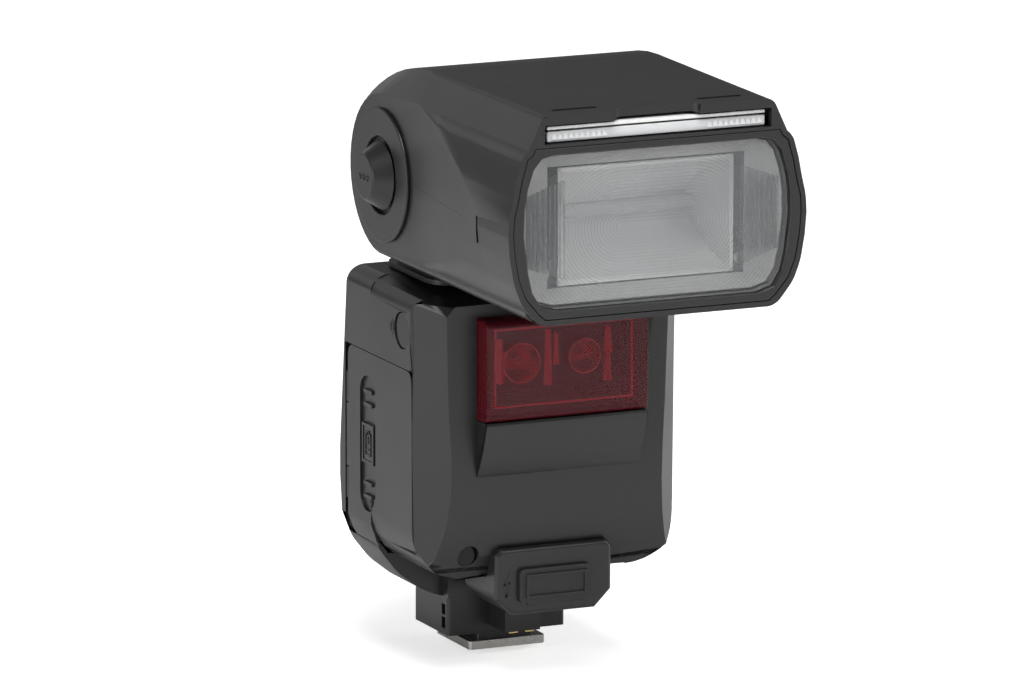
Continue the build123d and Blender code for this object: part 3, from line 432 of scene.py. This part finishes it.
def reflector_cup(name, x, z, radius, depth):
    """One parabolic cup that opens to the front, with its lamp lens in the middle."""
    shape = bmesh.new()
    outside = radius + 0.0004
    rise = [(radius * k / 10, depth * (k / 10) ** 2) for k in range(1, 11)]
    add_lathe(shape, [(0.0, 0.0)] + rise + [(outside, depth), (outside, 0.0)], (x, board_face, z), "Y", 40)
    add_lathe(shape, [(0.0, depth * 0.8), (0.0010, depth * 0.72), (0.0014, depth * 0.5), (0.0014, 0.0)],
              (x, board_face, z), "Y", 20)
    return finished(name, shape, red_foil, "body")


reflector_cup("focus_cup_left", -0.0088, 0.0712, 0.0042, 0.0040)
reflector_cup("focus_cup_right", 0.0066, 0.0716, 0.0036, 0.0040)
# Each prism as its place across the board, its width, and the heights of its two ends.
prism_sizes = ((-0.0136, 0.0012, 0.0668, 0.0768), (-0.0018, 0.0011, 0.0655, 0.0780),
               (0.0002, 0.0007, 0.0700, 0.0772), (0.0128, 0.0011, 0.0716, 0.0775),
               (0.0127, 0.0011, 0.0654, 0.0713))
prisms = bmesh.new()
for x, width, low, high in prism_sizes:
    made = bmesh.ops.create_cone(prisms, cap_ends=True, segments=4, radius1=width, radius2=width * 0.6,
                                 depth=high - low)["verts"]
    bmesh.ops.translate(prisms, vec=(x, prism_face, (low + high) / 2), verts=made)
finished("focus_prisms", prisms, red_painted_glow, "body")


# Red window: a hollow cover injection-moulded in deep red acrylic, polished in the mould, with a
# raised inner ledge that shows through as a paler line all round; that line is a painted highlight in the
# faint red glow.
red_acrylic = new_material("red_acrylic", (0.115, 0.006, 0.012), 0.07, Specular_IOR_Level=0.4)
red_tree = red_acrylic.node_tree
red_edge = red_tree.nodes.new("ShaderNodeLayerWeight")
red_edge.inputs["Blend"].default_value = 0.35
red_alpha = red_tree.nodes.new("ShaderNodeMapRange")
red_alpha.inputs["To Min"].default_value = 0.42
red_alpha.inputs["To Max"].default_value = 0.85
red_tree.links.new(red_edge.outputs["Facing"], red_alpha.inputs["Value"])
red_tree.links.new(red_alpha.outputs["Result"], red_tree.nodes["Principled BSDF"].inputs["Alpha"])
moulded("af_window", 0.0003, red_acrylic)
ledge = bmesh.new()
ledge_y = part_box("af_window")[0].y + 0.0022
ledge_bar = 0.0004
ledge_x, ledge_low, ledge_high = 0.0168, 0.0622, 0.0796
for low, high in (((-ledge_x, ledge_low), (ledge_x, ledge_low + ledge_bar)),
                  ((-ledge_x, ledge_high), (ledge_x, ledge_high + ledge_bar)),
                  ((-ledge_x, ledge_low), (-ledge_x + ledge_bar, ledge_high)),
                  ((ledge_x - ledge_bar, ledge_low), (ledge_x, ledge_high))):
    add_box(ledge, (low[0], ledge_y, low[1]), (high[0], ledge_y + ledge_bar, high[1]))
finished("window_ledge", ledge, red_painted_glow, "body")


# Lamp: a xenon tube in a bright anodised trough of folded aluminium sheet. It rides on a carriage that
# runs back and forth behind the lens.
reflector_low, reflector_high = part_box("reflector")
lamp_z = (reflector_low.z + reflector_high.z) / 2
trough_front, trough_back = reflector_low.y, reflector_high.y - 0.0006
trough_half_x, trough_half_z = 0.0202, 0.0122
trough_narrowing = 0.10
rim_half, rim_depth = 0.0004, 0.0006
rim_x, rim_z, rim_end_x, rim_end_z = 0.0206, 0.0126, 0.0209, 0.0128
bright_foil = new_material("bright_foil", (0.93, 0.93, 0.93), 0.28, Metallic=0.35)
trough = bmesh.new()
curve = []
for k in range(-12, 13):
    t = k / 12
    curve.append(trough.verts.new((-trough_half_x, trough_back + (trough_front - trough_back) * t * t,
                                   lamp_z + trough_half_z * t)))
curve_edges = [trough.edges.new(pair) for pair in zip(curve, curve[1:])]
drawn = bmesh.ops.extrude_edge_only(trough, edges=curve_edges)["geom"]
far = [item for item in drawn if isinstance(item, bmesh.types.BMVert)]
bmesh.ops.translate(trough, vec=(2 * trough_half_x, 0, 0), verts=far)
for end in (curve, sorted(far, key=lambda vert: vert.co.z)):
    trough.faces.new(end)
for vert in trough.verts:
    vert.co.x *= 1.0 - trough_narrowing * (vert.co.y - trough_front) / (trough_back - trough_front)
bmesh.ops.recalc_face_normals(trough, faces=trough.faces[:])
bmesh.ops.solidify(trough, geom=trough.faces[:], thickness=0.0004)
for side in (-1.0, 1.0):
    add_box(trough, (side * rim_x - rim_half, trough_front, lamp_z - rim_end_z),
            (side * rim_x + rim_half, trough_front + rim_depth, lamp_z + rim_end_z), 0.0001)
for side in (-1.0, 1.0):
    add_box(trough, (-rim_end_x, trough_front, lamp_z + side * rim_z - rim_half),
            (rim_end_x, trough_front + rim_depth, lamp_z + side * rim_z + rim_half), 0.0001)
finished("flash_trough", trough, bright_foil, "lamp_carriage", ("reflector",), 50.0)
tube_glass = new_material("tube_glass", (0.86, 0.88, 0.90), 0.05, Alpha=0.45, Coat_Weight=1.0)
finish_node("flash_tube", tube_glass)


# Lining: a white moulded funnel between the trough and the lens, held in by the lens frame, and the
# white tab of the light sensor above it.
white_lining = grained("white_lining", (0.62, 0.62, 0.61), 0.42, 1800.0, 0.1)
lining_x, lining_z, lining_depth, lining_taper = 0.0236, 0.0136, 0.0032, 0.93


def outline_planes(node):
    """The sides of a CAD prism that runs along Y, as points and outward directions."""
    found = {}
    for face in frame["nodes"][node].data.polygons:
        if abs(face.normal.y) < 0.2:
            facing = (round(face.normal.x, 2), round(face.normal.z, 2))
            found[facing] = (face.center.copy(), face.normal.copy())
    return list(found.values())


def cut_to_outline(shape, planes, inset):
    """Trims a shape to an outline, a little inside its sides."""
    for point, out in planes:
        geometry = shape.verts[:] + shape.edges[:] + shape.faces[:]
        bmesh.ops.bisect_plane(shape, geom=geometry, dist=0.0000001, plane_co=point - out * inset,
                               plane_no=out, clear_outer=True)


lens_low, lens_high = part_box("fresnel_lens")
lens_sides = outline_planes("fresnel_lens")
lens_middle = (lens_low.z + lens_high.z) / 2
lining = bmesh.new()
lining_place = Matrix.Translation((0, lens_high.y + 0.0003, lens_middle))
lining_place = lining_place @ Matrix.Rotation(math.pi / 2, 4, "X")
bmesh.ops.create_grid(lining, x_segments=1, y_segments=1, size=0.05, matrix=lining_place)
cut_to_outline(lining, lens_sides, 0.0004)
mouth = [edge for edge in lining.edges if edge.is_boundary]
bmesh.ops.delete(lining, geom=lining.faces[:], context="FACES_ONLY")
swept = bmesh.ops.extrude_edge_only(lining, edges=mouth)["geom"]
inner = [item for item in swept if isinstance(item, bmesh.types.BMVert)]
for vert in inner:
    vert.co.y += lining_depth
    vert.co.x = max(-lining_x, min(lining_x, vert.co.x * lining_taper))
    vert.co.z = max(lamp_z - lining_z, min(lamp_z + lining_z, vert.co.z))
bmesh.ops.remove_doubles(lining, verts=lining.verts[:], dist=0.00002)
bmesh.ops.recalc_face_normals(lining, faces=lining.faces[:])
bmesh.ops.solidify(lining, geom=lining.faces[:], thickness=0.0003)
finished("lens_lining", lining, white_lining, "head")
tab = bmesh.new()
add_box(tab, (-0.0055, trough_front + 0.0030, 0.1247), (0.0055, trough_front + 0.0036, 0.1286), 0.0008, 4)
finished("sensor_tab", tab, white_lining, "head")


# Lens: one clear acrylic moulding. Its face is a stretched Fresnel pattern, fine saw-tooth rings round
# a straight middle, and upright flutes on the back spread the light at both ends.
clear_acrylic = new_material("clear_acrylic", (0.42, 0.43, 0.44), 0.08)
clear_tree = clear_acrylic.node_tree
clear_edge = clear_tree.nodes.new("ShaderNodeLayerWeight")
clear_edge.inputs["Blend"].default_value = 0.35
clear_alpha = clear_tree.nodes.new("ShaderNodeMapRange")
clear_alpha.inputs["To Min"].default_value = 0.05
clear_alpha.inputs["To Max"].default_value = 0.90
clear_tree.links.new(clear_edge.outputs["Facing"], clear_alpha.inputs["Value"])
clear_tree.links.new(clear_alpha.outputs["Result"], clear_tree.nodes["Principled BSDF"].inputs["Alpha"])
ring_pitch, ring_reach, ring_steps = 0.00075, 0.0345, 96
straight_half = 0.0085
shallow_tooth, tooth_growth = 0.00010, 0.00034
flute_radius, flute_pitch, flute_start = 0.00052, 0.00115, 0.0215
flute_length, flute_shortening = 0.0215, 0.0008
rings = bmesh.new()
tooth, radius = [], 0.0003
while radius < ring_reach:
    depth = shallow_tooth + tooth_growth * radius / ring_reach
    tooth += [(radius, 0.0), (radius + ring_pitch * 0.78, depth), (radius + ring_pitch * 0.99, 0.00001)]
    radius += ring_pitch
half_step = math.pi / ring_steps
ridge = [rings.verts.new((r * math.sin(half_step), d, r * math.cos(half_step))) for r, d in tooth]
ridge_edges = [rings.edges.new(pair) for pair in zip(ridge, ridge[1:])]
bmesh.ops.spin(rings, geom=ridge + ridge_edges, cent=(0, 0, 0), axis=(0, 1, 0), angle=math.tau,
               steps=ring_steps, use_merge=True)
bmesh.ops.remove_doubles(rings, verts=rings.verts[:], dist=0.0000005)
hub = [edge for edge in rings.edges if edge.is_boundary and edge.verts[0].co.xz.length < 0.0006]
bmesh.ops.contextual_create(rings, geom=hub)
for vert in rings.verts:
    vert.co.x += math.copysign(straight_half, vert.co.x)
bmesh.ops.translate(rings, vec=(0, lens_low.y + 0.00002, lens_middle), verts=rings.verts[:])
cut_to_outline(rings, lens_sides, 0.0011)
for side in (-1.0, 1.0):
    for k in range(8):
        made = bmesh.ops.create_cone(rings, cap_ends=True, segments=10, radius1=flute_radius,
                                     radius2=flute_radius, depth=flute_length - flute_shortening * k)["verts"]
        bmesh.ops.translate(rings, verts=made, vec=(side * (flute_start + flute_pitch * k),
                                                    lens_high.y - 0.0003, lens_middle))
plate = bmesh.new()
plate.from_mesh(frame["nodes"]["fresnel_lens"].data)
bmesh.ops.remove_doubles(plate, verts=plate.verts[:], dist=weld)
plate_front = [vert for vert in plate.verts if vert.co.y < lens_low.y + 0.0005]
bmesh.ops.translate(plate, vec=(0, 0.0001, 0), verts=plate_front)
plate_mesh = bpy.data.meshes.new("lens_plate")
plate.to_mesh(plate_mesh)
plate.free()
rings.from_mesh(plate_mesh)
bpy.data.meshes.remove(plate_mesh)
finished("fresnel_rings", rings, clear_acrylic, "head", ("fresnel_lens",), 12.0)


# Pull-out panels: a clear acrylic diffusing panel with prism teeth on its lip, and a thin white bounce
# card above it. Both slide in the guide under the top of the head.
panel_low, panel_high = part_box("wide_panel")
frosted = new_material("frosted_acrylic", (0.86, 0.87, 0.88), 0.22, Alpha=0.62)
lip_face, lip_back, sheet_front, sheet_thick = 0.0004, 0.0011, 0.0006, 0.0016
tooth_start, tooth_pitch = 0.0125, 0.00132
panel_shape = bmesh.new()
add_box(panel_shape, (panel_low.x, panel_low.y + sheet_front, panel_low.z),
        (panel_high.x, panel_high.y, panel_low.z + sheet_thick), 0.0003)
add_box(panel_shape, (panel_low.x, panel_low.y + lip_face, panel_low.z),
        (panel_high.x, panel_low.y + lip_back, panel_high.z), 0.0003)
for side in (-1.0, 1.0):
    for k in range(10):
        made = bmesh.ops.create_cone(panel_shape, cap_ends=True, segments=3, radius1=0.00075, radius2=0.0001,
                                     depth=0.0013)["verts"]
        bmesh.ops.translate(panel_shape, verts=made, vec=(side * (tooth_start + tooth_pitch * k),
                                                          panel_low.y + lip_face, panel_low.z + 0.0013))
finished("wide_panel_clear", panel_shape, frosted, "wide_panel", ("wide_panel",))
white_card = grained("white_card", (0.78, 0.78, 0.77), 0.45, 1500.0, 0.05)
moulded("bounce_card", 0.0001, white_card)


# Release button of the tilt hinge: black nylon like the casings, sprung, with three small dots
# moulded on its face. It sits on one of the hinge's round covers.
moulded("release_button", 0.0004, black_nylon, 40.0)
button_low, button_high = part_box("release_button")
button_y, button_z = (button_low.y + button_high.y) / 2, (button_low.z + button_high.z) / 2
dot_pitch = 0.0018
dots = bmesh.new()
for k in (-1, 0, 1):
    made = bmesh.ops.create_uvsphere(dots, u_segments=12, v_segments=8, radius=0.00055)["verts"]
    bmesh.ops.scale(dots, vec=(0.35, 1, 1), verts=made)
    bmesh.ops.translate(dots, verts=made, vec=(button_low.x + 0.00012, button_y + dot_pitch * k,
                                               button_z - 0.0003))
finished("button_dots", dots, black_nylon, "release_button")


# Windows of the wireless receiver and the light sensor: discs moulded in smoked acrylic and pressed
# into round holes in the casing.
smoked = new_material("smoked_acrylic", (0.006, 0.006, 0.008), 0.16, Specular_IOR_Level=0.25)
moulded("side_sensor_window", 0.0002, smoked, 40.0)
moulded("front_sensor", 0.0002, smoked, 40.0)


# Small signs: plain pictograms moulded with the casing and the door, a hair proud of them, and the
# four grip dots of the door.
def raised_sign(name, strokes, place, facing, height, body, width=0.00035):
    """Flat strokes, each a list of points in the sign's own plane, drawn as slim raised bars."""
    shape = bmesh.new()
    for stroke in strokes:
        for (x0, y0), (x1, y1) in zip(stroke, stroke[1:]):
            run = Vector((x1 - x0, y1 - y0, 0))
            made = bmesh.ops.create_cube(shape, size=1.0)["verts"]
            bmesh.ops.scale(shape, vec=(run.length + width, width, height), verts=made)
            bmesh.ops.rotate(shape, cent=(0, 0, 0), verts=made,
                             matrix=Matrix.Rotation(math.atan2(run.y, run.x), 3, "Z"))
            bmesh.ops.translate(shape, vec=((x0 + x1) / 2, (y0 + y1) / 2, 0), verts=made)
    bmesh.ops.transform(shape, matrix=Matrix.Translation(place) @ facing, verts=shape.verts[:])
    return finished(name, shape, sign_black, body)


sign_black = grained("sign_black", (0.006, 0.006, 0.0065), 0.30, 3000.0, 0.05)
face_left = Matrix(((0, 0, -1, 0), (-1, 0, 0, 0), (0, 1, 0, 0), (0, 0, 0, 1)))
face_front = Matrix(((1, 0, 0, 0), (0, 0, -1, 0), (0, 1, 0, 0), (0, 0, 0, 1)))
casing_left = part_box("front_shell")[0].x
waves = []
for radius in (0.0013, 0.0024):
    sweep = [math.radians(a) for a in range(-50, 51, 20)]
    waves.append([(radius * math.cos(a), radius * math.sin(a)) for a in sweep])
raised_sign("receiver_sign", waves + [[(0, -0.0001), (0, 0.0001)]], (casing_left + 0.0001, -0.0158, 0.0779),
            face_left, 0.00030, "body")
door_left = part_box("battery_door")[0].x
raised_sign("door_arrow", [[(0.0, 0.0), (0.0006, 0.0011), (-0.0006, 0.0011), (0.0, 0.0)]],
            (door_left + 0.00062, -0.0045, 0.0343), face_left, 0.0003, "battery_door")
cell_sign = [[(-0.0014, -0.0026), (0.0014, -0.0026), (0.0014, 0.0022), (0.0006, 0.0022), (0.0006, 0.0028),
              (-0.0006, 0.0028), (-0.0006, 0.0022), (-0.0014, 0.0022), (-0.0014, -0.0026)],
             [(-0.0006, 0.0008), (0.0006, 0.0008)], [(0.0, 0.0002), (0.0, 0.0014)],
             [(-0.0006, -0.0014), (0.0006, -0.0014)]]
raised_sign("cell_sign", cell_sign, (door_left + 0.00016, -0.0038, 0.0485), face_left, 0.0003,
            "battery_door", 0.0003)
tread = bmesh.new()
for z in (0.0364, 0.0394, 0.0574, 0.0604):
    made = bmesh.ops.create_uvsphere(tread, u_segments=10, v_segments=6, radius=0.00045)["verts"]
    bmesh.ops.scale(tread, vec=(0.5, 1, 1), verts=made)
    bmesh.ops.translate(tread, vec=(door_left + 0.0006, -0.0070, z), verts=made)
finished("door_dots", tread, sign_black, "battery_door")
housing_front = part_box("terminal_housing")[0].y
bolt = [[(0.0006, 0.0030), (-0.0008, 0.0002), (0.0004, 0.0006), (-0.0004, -0.0024)],
        [(-0.0004, -0.0024), (-0.0007, -0.0015)], [(-0.0004, -0.0024), (0.0003, -0.0017)]]
raised_sign("flash_sign", bolt, (-0.0113, housing_front + 0.00008, 0.0205), face_front, 0.0003,
            "body", 0.0004)


# Rubber covers: the terminal cap, with a plain raised frame, pushed into the mouth of its housing, and
# the cover of the sync terminal. Both are moulded in soft black rubber.
soft_rubber = grained("soft_rubber", (0.020, 0.020, 0.021), 0.55, 1900.0, 0.18)
moulded("terminal_cap", 0.0004, soft_rubber, 30.0)
moulded("sync_cover", 0.0003, soft_rubber, 30.0)


# Back panel: a satin panel around a reflective display under a clear window, rubber keys, the ribbed
# selector dial with its confirm key, and a red ready lamp.
panel_black = grained("panel_black", (0.012, 0.012, 0.013), 0.30, 2600.0, 0.06)
key_black = grained("key_black", (0.030, 0.030, 0.032), 0.50, 2000.0, 0.12)
moulded("control_panel", 0.0004, panel_black, 30.0)
for node in ("soft_key_1", "soft_key_2", "soft_key_3", "test_button", "confirm_key"):
    moulded(node, 0.0004, key_black, 40.0)
moulded("selector_dial", 0.0002, black_nylon, 30.0)
moulded("lock_lever", 0.0003, black_nylon, 30.0)
display_green = grained("display_green", (0.33, 0.38, 0.33), 0.38, 700.0, 0.03)
finish_node("lcd_module", display_green)
display_cover = new_material("display_cover", (0.10, 0.11, 0.11), 0.03, Alpha=0.16, Coat_Weight=1.0)
moulded("lcd_window", 0.0003, display_cover, 30.0)
ready_red = new_material("ready_red", (0.45, 0.015, 0.012), 0.12, Coat_Weight=1.0)
finish_node("ready_lamp", ready_red)
lcd_low, lcd_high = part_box("lcd_module")
segments = bmesh.new()
ink_back, ink_front = lcd_high.y - 0.00002, lcd_high.y + 0.00004
ink_left, ink_pitch, ink_line = lcd_low.x + 0.0034, 0.0022, 0.0004
scale_foot, blocks_foot = lcd_low.z + 0.0030, lcd_low.z + 0.0065
for k in range(14):
    x = ink_left + ink_pitch * k
    tall = 0.0012 if k % 4 else 0.0022
    add_box(segments, (x, ink_back, scale_foot), (x + 0.0005, ink_front, scale_foot + tall))
for k in range(9):
    x = ink_left + ink_pitch * k
    add_box(segments, (x, ink_back, blocks_foot), (x + 0.0018, ink_front, blocks_foot + 0.0015))
for x, wide in ((ink_left, 0.0085), (lcd_low.x + 0.0150, 0.0060), (lcd_high.x - 0.0120, 0.0085)):
    for z in (lcd_high.z - 0.0060, lcd_high.z - 0.0032):
        add_box(segments, (x, ink_back, z), (x + wide, ink_front, z + ink_line))
    for side in (x, x + wide - ink_line):
        add_box(segments, (side, ink_back, lcd_high.z - 0.0060),
                (side + ink_line, ink_front, lcd_high.z - 0.0028))
display_ink = new_material("display_ink", (0.03, 0.035, 0.035), 0.4)
finished("display_segments", segments, display_ink, "body")
